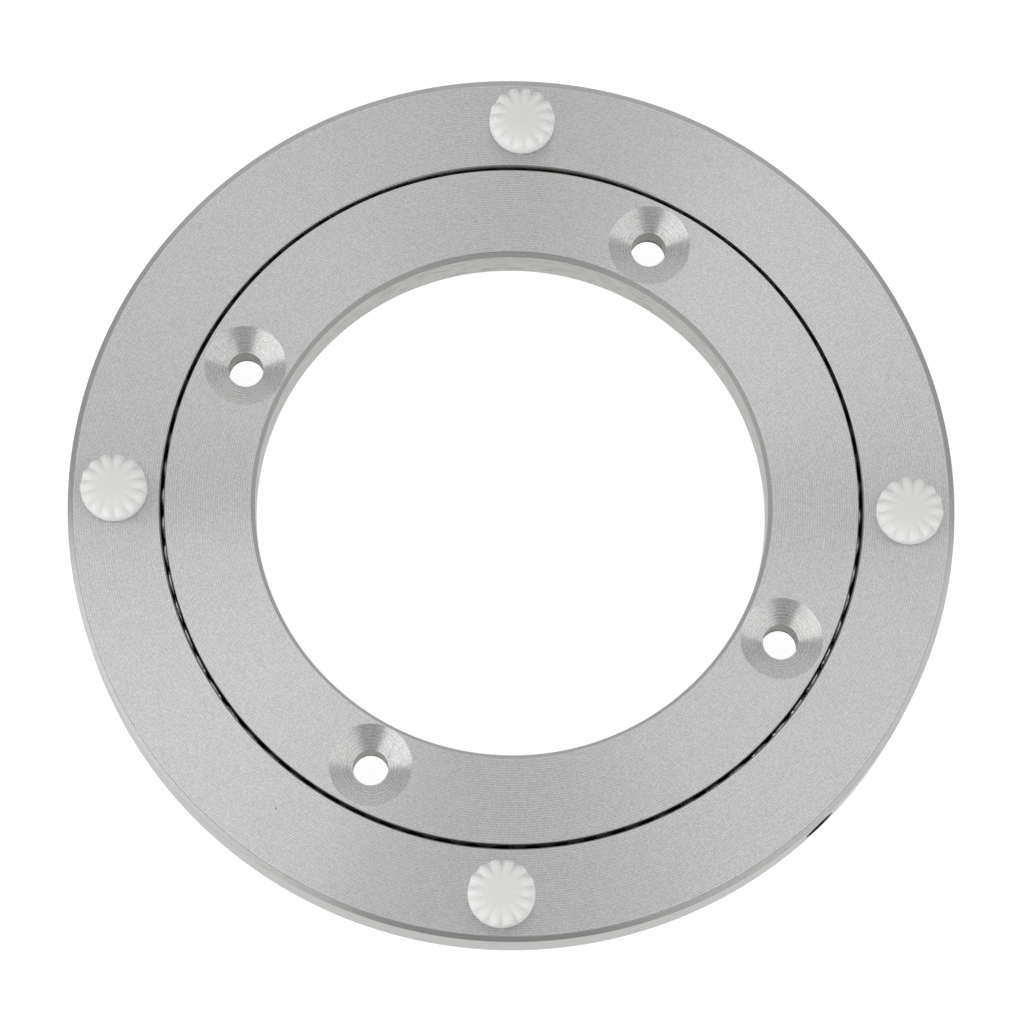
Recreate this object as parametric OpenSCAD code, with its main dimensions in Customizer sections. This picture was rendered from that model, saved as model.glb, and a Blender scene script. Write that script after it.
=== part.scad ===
// Flat turntable bearing: two turned rings, one inside the other, that run on a full circle
// of steel balls. The inner ring is screwed down. The outer ring turns, and carries what
// stands on it on four fluted pads. The origin is on the axis, on the plane it stands on.

/* [Rings] */
// Diameter over the outer ring
outer_d = 120; // [95:0.5:200]
// Thickness of the bearing, which is that of the inner ring
ring_t = 8.5; // [7.5:0.25:14]
// How far the outer ring's lower face stays clear of the plane below
ground_gap = 0.5; // [0.2:0.05:1]
// Running gap between the two rings
ring_gap = 0.5; // [0.3:0.05:0.8]
// Metal left on each side of a countersink, which sets the inner ring's width
countersink_wall = 0.54; // [0.4:0.02:3]
// Metal left on each side of a pad, which sets the outer ring's width
pad_wall = 1.735; // [1.5:0.005:4]

/* [Ring edges] */
// Width of the bevel at the outer ring's rim, seen from above
rim_bevel_w = 0.7; // [0.2:0.05:1]
// Height of that bevel
rim_bevel_h = 0.3; // [0.1:0.05:1]
// Width of the bevel at the middle hole, seen from above
hole_bevel_w = 0.5; // [0.1:0.05:0.5]
// Height of that bevel
hole_bevel_h = 1; // [0.2:0.1:1.5]
// Bevel on the outer ring's edges at the running gap
gap_bevel = 0.2; // [0.1:0.05:0.4]
// Edge break on the inner ring's edges at the running gap
edge_break = 0.12; // [0.05:0.01:0.2]

/* [Balls] */
// Diameter of a ball
ball_d = 4; // [3:0.1:4.5]
// Least gap between neighbouring balls
ball_play = 0.01; // [0.01:0.01:0.2]
// Gap between a ball and the wall of its race
race_play = 0.1; // [0.05:0.01:0.15]

/* [Screw holes] */
// Diameter of the screw holes in the inner ring
screw_hole_d = 4.8; // [3:0.1:5.5]
// Diameter of the countersinks at both faces
countersink_d = 11.2; // [7:0.1:13]
// Angle across a countersink
countersink_angle = 112; // [110:1:120]
// How far the screw holes are turned from the pads
screw_turn = 64; // [0:1:89]

/* [Pads] */
// Diameter of a pad's head
pad_d = 9; // [8:0.1:14]
// Height of a pad above the outer ring
pad_h = 3; // [2:0.1:5]
// Rounding of a pad's upper rim
pad_rim_r = 0.5; // [0.2:0.05:0.8]
// Rounding of a pad's lower rim
pad_foot_r = 0.3; // [0.1:0.05:0.5]
// Number of flutes round a pad
flute_count = 14; // [8:1:16]
// Diameter of the plain middle of a pad's top
flute_start_d = 3; // [2:0.1:4]
// Depth of a flute at the rim
flute_depth = 1.2; // [0.4:0.1:1.4]
// Angle across a flute's two walls
flute_angle = 56; // [40:1:60]
// Diameter of a pad's stem
stem_d = 4.8; // [3:0.1:5.2]
// Gap between a stem and its hole
stem_gap = 0.1; // [0.05:0.01:0.2]
// Diameter of the barb under the ring
barb_d = 6.6; // [5.6:0.1:7]
// Diameter of the seat under each pad hole, at the lower face
barb_seat_d = 9.4; // [8.5:0.1:9.8]
// How far a stem's end stays inside the lower face
stem_recess = 0.4; // [0.2:0.05:0.8]

/* [Filling port] */
// Diameter of the port in the outer ring's side
port_d = 4.8; // [4.7:0.1:5.5]
// Gap between the plug and the port
plug_gap = 0.05; // [0.02:0.01:0.1]
// How far the plug's end stays clear of the race
plug_race_gap = 0.3; // [0.1:0.05:0.6]
// How far the plug lies inside the rim
plug_recess = 0.35; // [0.2:0.05:1]
// Bevel at the plug's two ends
plug_bevel = 0.4; // [0.1:0.05:0.6]
// Width across the flats of the plug's socket
socket_af = 2.5; // [1.5:0.1:3]
// Depth of the plug's socket
socket_depth = 2.4; // [1:0.1:4]

/* [Hidden] */
$fn = 96;
ball_fn = 32;
hexagon_fn = 6;
pad_count = 4;
screw_count = 4;
// One overrun serves every cut that goes through a face
overrun = 0.6;

// The rings are as wide as the pads and the countersinks in them need, from the rim inwards
outer_r = outer_d / 2;
outer_ring_bore_r = outer_r - pad_d - 2 * pad_wall;
inner_ring_r = outer_ring_bore_r - ring_gap;
hole_r = inner_ring_r - countersink_d - 2 * countersink_wall;
pad_circle_r = (outer_ring_bore_r + outer_r) / 2;
screw_circle_r = (hole_r + inner_ring_r) / 2;

// The balls run midway in the running gap
pitch_r = inner_ring_r + ring_gap / 2;
ball_r = ball_d / 2;
race_r = ball_r + race_play;
race_z = ring_t / 2;
screw_hole_r = screw_hole_d / 2;
countersink_slope = tan(countersink_angle / 2);
countersink_depth = (countersink_d / 2 - screw_hole_r) / countersink_slope;
countersink_cut_r = countersink_d / 2 + overrun * countersink_slope;

pad_r = pad_d / 2;
flute_run = (pad_d - flute_start_d) / 2;
flute_slope = atan(flute_depth / flute_run);
flute_length = flute_run + pad_r;
flute_rise = flute_depth + pad_h;
flute_half_w = flute_rise * tan(flute_angle / 2);
stem_r = stem_d / 2;
pad_hole_r = stem_r + stem_gap;
barb_r = barb_d / 2;
barb_seat_h = barb_seat_d / 2 - pad_hole_r;
barb_seat_z = ground_gap + barb_seat_h;
stem_end_z = ground_gap + stem_recess;
stem_end_r = stem_r - stem_recess;

// The port lies midway between two pads
port_angle = -180 / pad_count;
plug_r = port_d / 2 - plug_gap;
plug_inner_end = pitch_r + race_r + plug_race_gap;
plug_outer_end = outer_r - plug_recess;
plug_length = plug_outer_end - plug_inner_end;

// Full circle of balls, shared out in runs of neighbours among a fixed number of nodes
ball_count = floor(180 / asin((ball_r + ball_play / 2) / pitch_r));
ball_groups = 37;

function first_ball(i) = ceil(i * ball_count / ball_groups);
function two_digits(n) = str(n < 10 ? "0" : "", n);
function ball_name(i) = str("ball_pair_", two_digits(i + 1));
function pad_name(i) = str("pad_", i + 1);

// Half section of the inner ring, bevelled alike above and below
module inner_ring_section() {
    polygon([
        [hole_r + hole_bevel_w, 0],
        [inner_ring_r - edge_break, 0],
        [inner_ring_r, edge_break],
        [inner_ring_r, ring_t - edge_break],
        [inner_ring_r - edge_break, ring_t],
        [hole_r + hole_bevel_w, ring_t],
        [hole_r, ring_t - hole_bevel_h],
        [hole_r, hole_bevel_h]
    ]);
}

// Half section of the outer ring, which hangs clear of the plane below
module outer_ring_section() {
    polygon([
        [outer_ring_bore_r + gap_bevel, ground_gap],
        [outer_r - rim_bevel_w, ground_gap],
        [outer_r, ground_gap + rim_bevel_h],
        [outer_r, ring_t - rim_bevel_h],
        [outer_r - rim_bevel_w, ring_t],
        [outer_ring_bore_r + gap_bevel, ring_t],
        [outer_ring_bore_r, ring_t - gap_bevel],
        [outer_ring_bore_r, ground_gap + gap_bevel]
    ]);
}

// Round groove that the balls run in, cut half in each ring
module ball_race() {
    translate([0, 0, race_z])
        rotate_extrude()
            translate([pitch_r, 0])
                circle(r = race_r);
}

// Screw hole on its own axis, countersunk alike from both faces
module screw_hole() {
    translate([0, 0, -overrun])
        cylinder(h = ring_t + 2 * overrun, r = screw_hole_r);
    translate([0, 0, ring_t - countersink_depth])
        cylinder(h = countersink_depth + overrun, r1 = screw_hole_r, r2 = countersink_cut_r);
    translate([0, 0, -overrun])
        cylinder(h = countersink_depth + overrun, r1 = countersink_cut_r, r2 = screw_hole_r);
}

// Pad hole on its own axis, with the seat for the barb below
module pad_hole() {
    translate([0, 0, ground_gap - overrun])
        cylinder(h = ring_t - ground_gap + 2 * overrun, r = pad_hole_r);
    translate([0, 0, ground_gap - overrun])
        cylinder(h = barb_seat_h + overrun, r1 = barb_seat_d / 2 + overrun, r2 = pad_hole_r);
}

// Port that runs from the side wall into the race
module filling_port() {
    rotate([0, 0, port_angle])
        translate([pitch_r, 0, race_z])
            rotate([0, 90, 0])
                cylinder(h = outer_r - pitch_r + overrun, d = port_d);
}

module inner_ring() {
    color("silver")
        difference() {
            rotate_extrude()
                inner_ring_section();
            ball_race();
            for (i = [0 : screw_count - 1])
                rotate([0, 0, screw_turn + i * 360 / screw_count])
                    translate([screw_circle_r, 0, 0])
                        screw_hole();
        }
}

module outer_ring() {
    color("lightgray")
        difference() {
            rotate_extrude()
                outer_ring_section();
            ball_race();
            filling_port();
            for (i = [0 : pad_count - 1])
                rotate([0, 0, i * 360 / pad_count])
                    translate([pad_circle_r, 0, 0])
                        pad_hole();
        }
}

// Socket set screw, drawn with a plain shank, that lies along the port
module port_plug() {
    color("dimgray")
        rotate([0, 0, port_angle])
            translate([plug_inner_end, 0, race_z])
                rotate([0, 90, 0])
                    difference() {
                        union() {
                            cylinder(h = plug_bevel, r1 = plug_r - plug_bevel, r2 = plug_r);
                            translate([0, 0, plug_bevel])
                                cylinder(h = plug_length - 2 * plug_bevel, r = plug_r);
                            translate([0, 0, plug_length - plug_bevel])
                                cylinder(h = plug_bevel, r1 = plug_r, r2 = plug_r - plug_bevel);
                        }
                        translate([0, 0, plug_length - socket_depth])
                            cylinder(
                                h = socket_depth + overrun,
                                d = socket_af / cos(180 / hexagon_fn),
                                $fn = hexagon_fn
                            );
                    }
}

// Half section of a pad's head, with round rims
module pad_head_section() {
    square([pad_r - pad_rim_r, pad_h]);
    translate([0, pad_foot_r])
        square([pad_r, pad_h - pad_rim_r - pad_foot_r]);
    square([pad_r - pad_foot_r, pad_h - pad_rim_r]);
    translate([pad_r - pad_rim_r, pad_h - pad_rim_r])
        circle(r = pad_rim_r);
    translate([pad_r - pad_foot_r, pad_foot_r])
        circle(r = pad_foot_r);
}

// V groove that runs out and down from the plain middle of the pad's top
module flute() {
    translate([flute_start_d / 2, 0, pad_h])
        rotate([0, flute_slope, 0])
            rotate([90, 0, 90])
                linear_extrude(height = flute_length)
                    polygon([
                        [0, 0],
                        [flute_half_w, flute_rise],
                        [-flute_half_w, flute_rise]
                    ]);
}

// Stem with a barb that follows the seat's slope and then tapers to the stem's end
module pad_stem_section() {
    polygon([
        [0, ring_t],
        [stem_r, ring_t],
        [stem_r, barb_seat_z],
        [barb_r, barb_seat_z - (barb_r - stem_r)],
        [stem_end_r, stem_end_z],
        [0, stem_end_z]
    ]);
}

// One pad, with its head face to face on the outer ring
module pad(i) {
    color("whitesmoke")
        rotate([0, 0, i * 360 / pad_count])
            translate([pad_circle_r, 0, 0])
                union() {
                    translate([0, 0, ring_t])
                        difference() {
                            rotate_extrude()
                                pad_head_section();
                            for (k = [0 : flute_count - 1])
                                rotate([0, 0, k * 360 / flute_count])
                                    flute();
                        }
                    rotate_extrude()
                        pad_stem_section();
                }
}

// The balls of one node, side by side in the race
module ball_pair(i) {
    color("gainsboro")
        for (k = [first_ball(i) : first_ball(i + 1) - 1])
            rotate([0, 0, k * 360 / ball_count])
                translate([pitch_r, 0, race_z])
                    sphere(d = ball_d, $fn = ball_fn);
}

inner_ring();
outer_ring();
port_plug();
for (i = [0 : pad_count - 1])
    pad(i);
for (i = [0 : ball_groups - 1])
    ball_pair(i);
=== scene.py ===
"""Flat turntable bearing: two turned aluminium rings that run on a full circle of steel
balls. The inner ring is screwed down, and the outer one turns and carries what stands on
it on four fluted silicone pads."""
import math

import bpy
from mathutils import Matrix, Vector


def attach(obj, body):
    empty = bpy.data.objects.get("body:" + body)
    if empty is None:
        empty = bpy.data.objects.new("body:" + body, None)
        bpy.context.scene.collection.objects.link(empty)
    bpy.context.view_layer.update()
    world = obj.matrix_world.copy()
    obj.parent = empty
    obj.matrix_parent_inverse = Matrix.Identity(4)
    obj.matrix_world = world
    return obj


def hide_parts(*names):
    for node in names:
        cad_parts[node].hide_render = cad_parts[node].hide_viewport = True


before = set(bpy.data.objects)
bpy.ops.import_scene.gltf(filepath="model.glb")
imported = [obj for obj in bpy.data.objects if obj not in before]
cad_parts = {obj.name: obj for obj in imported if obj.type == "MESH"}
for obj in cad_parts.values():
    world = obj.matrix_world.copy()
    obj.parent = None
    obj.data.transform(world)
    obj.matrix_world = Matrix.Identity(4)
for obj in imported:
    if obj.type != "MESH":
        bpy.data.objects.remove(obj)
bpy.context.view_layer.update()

MM = 0.001

# Sizes in millimetres, the same as in the part's source. A bevel has a width and a height
RING_T = 8.5
GROUND_GAP = 0.5
OUTER_R = 60.0
OUTER_BORE_R = 47.53
INNER_R = 47.03
HOLE_R = 34.75
RIM_BEVEL = (0.7, 0.3)
HOLE_BEVEL = (0.5, 1.0)
GAP_BEVEL = 0.2
EDGE_BREAK = 0.12

PITCH_R = (OUTER_BORE_R + INNER_R) / 2
BALL_COUNT = 74
BALL_NODES = 37
BALL_R = 2.0
RACE_R = 2.1
RACE_Z = RING_T / 2

SCREW_COUNT = 4
SCREW_TURN = 64.0
SCREW_CIRCLE_R = (HOLE_R + INNER_R) / 2
SCREW_HOLE_R = 2.4
COUNTERSINK_R = 5.6
COUNTERSINK_ANGLE = 112.0

PAD_COUNT = 4
PAD_CIRCLE_R = (OUTER_BORE_R + OUTER_R) / 2
PAD_R = 4.5
PAD_H = 3.0
PAD_FOOT_R = 0.3
FLUTE_COUNT = 14
STEM_R = 2.4
STEM_GAP = 0.1
BARB_R = 3.3
BARB_SEAT_R = 4.7
STEM_RECESS = 0.4

PORT_ANGLE = -45.0
PORT_R = 2.4
PLUG_R = 2.35
PLUG_RACE_GAP = 0.3
PLUG_RECESS = 0.35
PLUG_START = PITCH_R + RACE_R + PLUG_RACE_GAP
PLUG_LENGTH = OUTER_R - PLUG_RECESS - PLUG_START
PLUG_BEVEL = 0.4
SOCKET_AF = 2.5
SOCKET_DEPTH = 2.4

# Sizes in millimetres of what is finer here than in the part's source. Each pad's flutes
# have a turn of their own, in degrees
BURR_BREAK = 0.05
PAD_RIM_R = 1.1
PAD_PLAIN_WALL = 1.0
PAD_TURNS = (8.4, 19.0, 16.5, 14.0)
FLUTE_START_R = 1.2
FLUTE_START_W = 0.6
FLUTE_RIM_W = 1.8
FLUTE_DEPTH = 0.75
FLUTE_NOTCH = 0.45
FLUTE_CURVE = 2.3
FLUTE_SHARPNESS = 1.5
THREAD_PITCH = 0.5
THREAD_DEPTH = 0.25

# How finely round shapes are divided
RING_SEGMENTS = 360
HOLE_SEGMENTS = 96
RACE_STEPS = 44
FLUTE_SEGMENTS = 16
THREAD_ROWS = 6
SCREW_SEGMENTS = 48

# How far a cutter reaches past a face, and how close points are before they become one
OVERRUN = 0.6
SOCKET_OVERRUN = 0.3
WELD = 0.0005

# Finishes that a section's faces can have
FACE, EDGE, SIDE, GAP_SIDE, RACE, CONE, BORE = range(7)


# ---- Node helpers ----

def add(tree, kind, inputs=None, **settings):
    """Adds a node, makes its settings, and fills inputs with values or links."""
    node = tree.nodes.new(kind)
    for name, value in settings.items():
        setattr(node, name, value)
    for key, value in (inputs or {}).items():
        if isinstance(value, bpy.types.NodeSocket):
            tree.links.new(value, node.inputs[key])
        else:
            node.inputs[key].default_value = value
    return node


def use(tree, group, inputs):
    """Places a node group in a tree and gives its outputs."""
    kind = "ShaderNodeGroup" if group.bl_idname == "ShaderNodeTree" else "GeometryNodeGroup"
    return add(tree, kind, inputs, node_tree=group).outputs


def calc(tree, operation, *values, clamp=False):
    """Adds a Math node and gives its result."""
    inputs = dict(enumerate(values))
    return add(tree, "ShaderNodeMath", inputs, operation=operation, use_clamp=clamp).outputs[0]


def times(tree, first, *others):
    """Product of two or more values."""
    for other in others:
        first = calc(tree, "MULTIPLY", first, other)
    return first


def plus(tree, one, other):
    """Sum of two values."""
    return calc(tree, "ADD", one, other)


def minus(tree, one, other):
    """What is left of one value without another."""
    return calc(tree, "SUBTRACT", one, other)


def over(tree, one, other, clamp=False):
    """One value divided by another."""
    return calc(tree, "DIVIDE", one, other, clamp=clamp)


def scaled(tree, value, factor, start, clamp=False):
    """A value times a factor, from a start."""
    return calc(tree, "MULTIPLY_ADD", value, factor, start, clamp=clamp)


def across_both(tree, one, other):
    """Straight distance over two distances at right angles."""
    return calc(tree, "SQRT", plus(tree, times(tree, one, one), times(tree, other, other)))


def to_and_fro(tree, value):
    """1 at each whole number, 0 halfway between them."""
    return calc(tree, "ABSOLUTE", scaled(tree, calc(tree, "FRACT", value), 2.0, -1.0))


def round_axis(tree, place):
    """Part of a full turn round the axis, from the X axis."""
    return over(tree, calc(tree, "ARCTAN2", place["Y"], place["X"]), math.tau)


def ramp(tree, value, start, end, low=0.0, high=1.0, **settings):
    """Goes from low to high while a value goes from start to end."""
    inputs = {"Value": value, "From Min": start, "From Max": end, "To Min": low, "To Max": high}
    return add(tree, "ShaderNodeMapRange", inputs, **settings).outputs["Result"]


def noise(tree, place, scale, detail, roughness=0.5):
    """Cloudy pattern over a place."""
    inputs = {"Vector": place, "Scale": scale, "Detail": detail, "Roughness": roughness}
    return add(tree, "ShaderNodeTexNoise", inputs).outputs["Fac"]


def noise_along(tree, value, detail, roughness=0.5):
    """Uneven pattern along one value."""
    inputs = {"W": value, "Scale": 1.0, "Detail": detail, "Roughness": roughness}
    return add(tree, "ShaderNodeTexNoise", inputs, noise_dimensions="1D").outputs["Fac"]


def axes(tree, vector):
    """Parts of a vector along X, Y and Z."""
    return add(tree, "ShaderNodeSeparateXYZ", {0: vector}).outputs


def vector_of(tree, **parts):
    """Vector with the given parts along X, Y and Z."""
    return add(tree, "ShaderNodeCombineXYZ", parts).outputs[0]


def vector_calc(tree, operation, *values):
    """Adds a Vector Math node and gives its vector."""
    return add(tree, "ShaderNodeVectorMath", dict(enumerate(values)), operation=operation).outputs[0]


SOCKETS = {float: "NodeSocketFloat", int: "NodeSocketInt", bool: "NodeSocketBool"}
SHAPE, OBJECT, POINT = "NodeSocketGeometry", "NodeSocketObject", "NodeSocketVector"


def new_tree(name, kind, inputs, outputs, output_socket):
    """Starts a node tree. An input has a value that it starts from, or a kind of socket."""
    tree = bpy.data.node_groups.new(name, kind)
    for label, given in inputs.items():
        plain = isinstance(given, str)
        socket = given if plain else SOCKETS[type(given)]
        item = tree.interface.new_socket(label, in_out="INPUT", socket_type=socket)
        if not plain:
            item.default_value = given
    for label in outputs:
        tree.interface.new_socket(label, in_out="OUTPUT", socket_type=output_socket)
    return tree, tree.nodes.new("NodeGroupInput").outputs, tree.nodes.new("NodeGroupOutput").inputs


def effect_tree(name, inputs, outputs):
    """Starts a shader group that measures an effect at a place."""
    return new_tree(name, "ShaderNodeTree", {"Vector": POINT, **inputs}, outputs, SOCKETS[float])


def shape_tree(name, inputs):
    """Starts a tree that makes a mesh."""
    return new_tree(name, "GeometryNodeTree", inputs, ("Mesh",), SHAPE)


# ---- Shader groups: effects that several finishes share ----

# Sizes of the patterns, in repeats a metre
PATCH_SCALE = 90.0
SCRATCH_SCALE = 110.0
SPECK_SCALE = 330.0
DENT_SCALE = 420.0
RUB_SCALE = 700.0
SKIN_SCALE = 2500.0
FLECK_SCALE = 4200.0

FLAT = (1.0, 1.0, 0.0)


def turning_marks_group():
    """Fine lines that a turning tool leaves, across any distance that it is given."""
    tree, given, put = effect_tree(
        "turning marks", {"Across": 0.0, "Pitch": 0.27 * MM, "Unevenness": 0.5}, ("Height", "Tone"))
    wander, fine_rate, slow_rate, fine_share, uneven_share = 0.6, 1.7, 0.16, 0.6, 0.6
    turns = over(tree, given["Across"], given["Pitch"])
    wandering = scaled(tree, noise(tree, given["Vector"], PATCH_SCALE, 2.0), wander, turns)
    line = scaled(tree, calc(tree, "SINE", times(tree, wandering, math.tau)), 0.5, 0.5)
    fine = noise_along(tree, times(tree, turns, fine_rate), 3.0, 0.7)
    slow = noise_along(tree, times(tree, turns, slow_rate), 2.0)
    steady = times(tree, line, minus(tree, 1.0, times(tree, given["Unevenness"], uneven_share)))
    tree.links.new(plus(tree, steady, times(tree, fine, given["Unevenness"])), put["Height"])
    tone = plus(tree, times(tree, fine, fine_share), times(tree, slow, 1 - fine_share))
    tree.links.new(tone, put["Tone"])
    return tree


def handling_marks_group():
    """Stains, specks and short scratches from handling."""
    tree, given, put = effect_tree(
        "handling marks",
        {"Stain Size": 4.0 * MM, "Stain Cover": 0.3, "Stain Flatness": 1.0, "Speck Cover": 0.1,
         "Scratch Cover": 0.3},
        ("Stain", "Speck", "Scratch"))
    no_cover, cover_gain, stain_edge = 0.75, 0.4, 0.12
    squash = vector_of(tree, X=1.0, Y=1.0, Z=given["Stain Flatness"])
    squashed = vector_calc(tree, "MULTIPLY", given["Vector"], squash)
    cloud = noise(tree, squashed, over(tree, 1.0, given["Stain Size"]), 5.0, 0.6)
    edge = minus(tree, no_cover, times(tree, given["Stain Cover"], cover_gain))
    stain = ramp(tree, cloud, edge, plus(tree, edge, stain_edge), interpolation_type="SMOOTHSTEP")
    tree.links.new(stain, put["Stain"])

    speck_size, speck_edge = 0.045, 0.02
    cells = add(tree, "ShaderNodeTexVoronoi", {"Vector": given["Vector"], "Scale": SPECK_SCALE}).outputs
    chance = add(tree, "ShaderNodeSeparateColor", {"Color": cells["Color"]}).outputs
    size = times(tree, chance["Green"], speck_size)
    near = ramp(tree, cells["Distance"], plus(tree, size, speck_edge), size)
    chosen = calc(tree, "LESS_THAN", chance["Red"], given["Speck Cover"])
    tree.links.new(times(tree, near, chosen), put["Speck"])

    bend, width, width_edge, reach, reach_edge = 18.0, 0.02 * MM, 0.07 * MM, 0.8 * MM, 2.6 * MM
    flat = vector_calc(tree, "MULTIPLY", given["Vector"], FLAT)
    cells = add(tree, "ShaderNodeTexVoronoi", {"Vector": flat, "Scale": SCRATCH_SCALE},
                voronoi_dimensions="2D").outputs
    chance = add(tree, "ShaderNodeSeparateColor", {"Color": cells["Color"]}).outputs
    away = vector_calc(tree, "SUBTRACT", flat, cells["Position"])
    turn = times(tree, chance["Red"], math.tau)
    turned = add(tree, "ShaderNodeVectorRotate", {"Vector": away, "Angle": turn}, rotation_type="Z_AXIS")
    along = axes(tree, turned.outputs[0])
    aside = calc(tree, "ABSOLUTE", plus(tree, along["Y"], times(tree, along["X"], along["X"], bend)))
    thin = ramp(tree, aside, width_edge, width)
    short = ramp(tree, calc(tree, "ABSOLUTE", along["X"]), reach_edge, reach)
    chosen = calc(tree, "LESS_THAN", chance["Blue"], given["Scratch Cover"])
    tree.links.new(times(tree, thin, short, chosen), put["Scratch"])
    return tree


def edge_wear_and_highlight_group():
    """Rubbed metal, with a painted highlight, along a turned edge, given by its radius and height."""
    tree, given, put = effect_tree(
        "edge wear and highlight", {"Edge Radius": 0.0, "Edge Height": 0.0, "Reach": 0.3 * MM}, ("Wear And Highlight",))
    least_share, share_spread = 0.2, 1.6
    place = axes(tree, given["Vector"])
    out = minus(tree, across_both(tree, place["X"], place["Y"]), given["Edge Radius"])
    up = minus(tree, place["Z"], given["Edge Height"])
    rub = noise(tree, given["Vector"], RUB_SCALE, 3.0)
    reach = times(tree, given["Reach"], scaled(tree, rub, share_spread, least_share))
    tree.links.new(ramp(tree, across_both(tree, out, up), reach, 0.0), put["Wear And Highlight"])
    return tree


def from_nearest_hole(tree, place, circle_radius, turn):
    """Place along X and Y as seen from the nearest of four holes on a circle."""
    place = axes(tree, place)
    quarter = math.tau / SCREW_COUNT
    angle = calc(tree, "ARCTAN2", place["Y"], place["X"])
    steps = over(tree, minus(tree, angle, turn), quarter)
    nearest = scaled(tree, calc(tree, "ROUND", steps), quarter, turn)
    x = minus(tree, place["X"], times(tree, calc(tree, "COSINE", nearest), circle_radius))
    y = minus(tree, place["Y"], times(tree, calc(tree, "SINE", nearest), circle_radius))
    return x, y


def nearest_hole_group():
    """Distance from the axis of the nearest of a circle of holes."""
    tree, given, put = effect_tree("nearest hole", {"Circle Radius": 0.0, "Turn": 0.0}, ("Distance",))
    x, y = from_nearest_hole(tree, given["Vector"], given["Circle Radius"], given["Turn"])
    tree.links.new(across_both(tree, x, y), put["Distance"])
    return tree


TURNING_MARKS = turning_marks_group()
HANDLING_MARKS = handling_marks_group()
EDGE_WEAR_AND_HIGHLIGHT = edge_wear_and_highlight_group()
NEAREST_HOLE = nearest_hole_group()


# ---- Finishes ----

def mix_colour(tree, amount, below, above):
    """Mixes two colours by a mask."""
    node = add(tree, "ShaderNodeMix", {0: amount}, data_type="RGBA")
    for socket, value in ((node.inputs[6], below), (node.inputs[7], above)):
        if isinstance(value, bpy.types.NodeSocket):
            tree.links.new(value, socket)
        else:
            socket.default_value = (*value, 1.0)
    return node.outputs[2]


def brighter(colour, gain):
    """Colour made brighter, up to white."""
    return tuple(min(1.0, channel * gain) for channel in colour)


def start_finish(name):
    """Starts a material and gives its tree, its shader's inputs and the object coordinates."""
    material = bpy.data.materials.new(name)
    material.use_nodes = True
    tree = material.node_tree
    place = add(tree, "ShaderNodeTexCoord").outputs["Object"]
    return material, tree, tree.nodes["Principled BSDF"].inputs, place


def handled(tree, place, stain_size, stain_cover, speck_cover, scratch_cover=0.0, stain_flatness=1.0):
    """Masks of the marks from handling."""
    return use(tree, HANDLING_MARKS, {
        "Vector": place, "Stain Size": stain_size * MM, "Stain Cover": stain_cover,
        "Stain Flatness": stain_flatness, "Speck Cover": speck_cover, "Scratch Cover": scratch_cover})


def raise_surface(tree, shader, height, depth, strength=1.0):
    """Raises a finish by a height from 0 to 1, to a depth in millimetres."""
    raised = add(tree, "ShaderNodeBump", {"Strength": strength, "Distance": depth * MM, "Height": height})
    tree.links.new(raised.outputs["Normal"], shader["Normal"])


def across_radius(tree, place):
    """Distance from the bearing's axis."""
    flat = vector_calc(tree, "MULTIPLY", place, FLAT)
    return add(tree, "ShaderNodeVectorMath", {0: flat}, operation="LENGTH").outputs["Value"]


def across_height(tree, place):
    """Height above the plane that the bearing stands on."""
    return axes(tree, place)["Z"]


def from_balls(tree, place):
    """Height above or below the middle of the balls."""
    return calc(tree, "ABSOLUTE", minus(tree, across_height(tree, place), RACE_Z * MM))


def from_screw_hole(tree, place):
    """Distance from the nearest screw hole's axis."""
    return use(tree, NEAREST_HOLE, {"Vector": place, "Circle Radius": SCREW_CIRCLE_R * MM,
                                    "Turn": math.radians(SCREW_TURN)})["Distance"]


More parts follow.
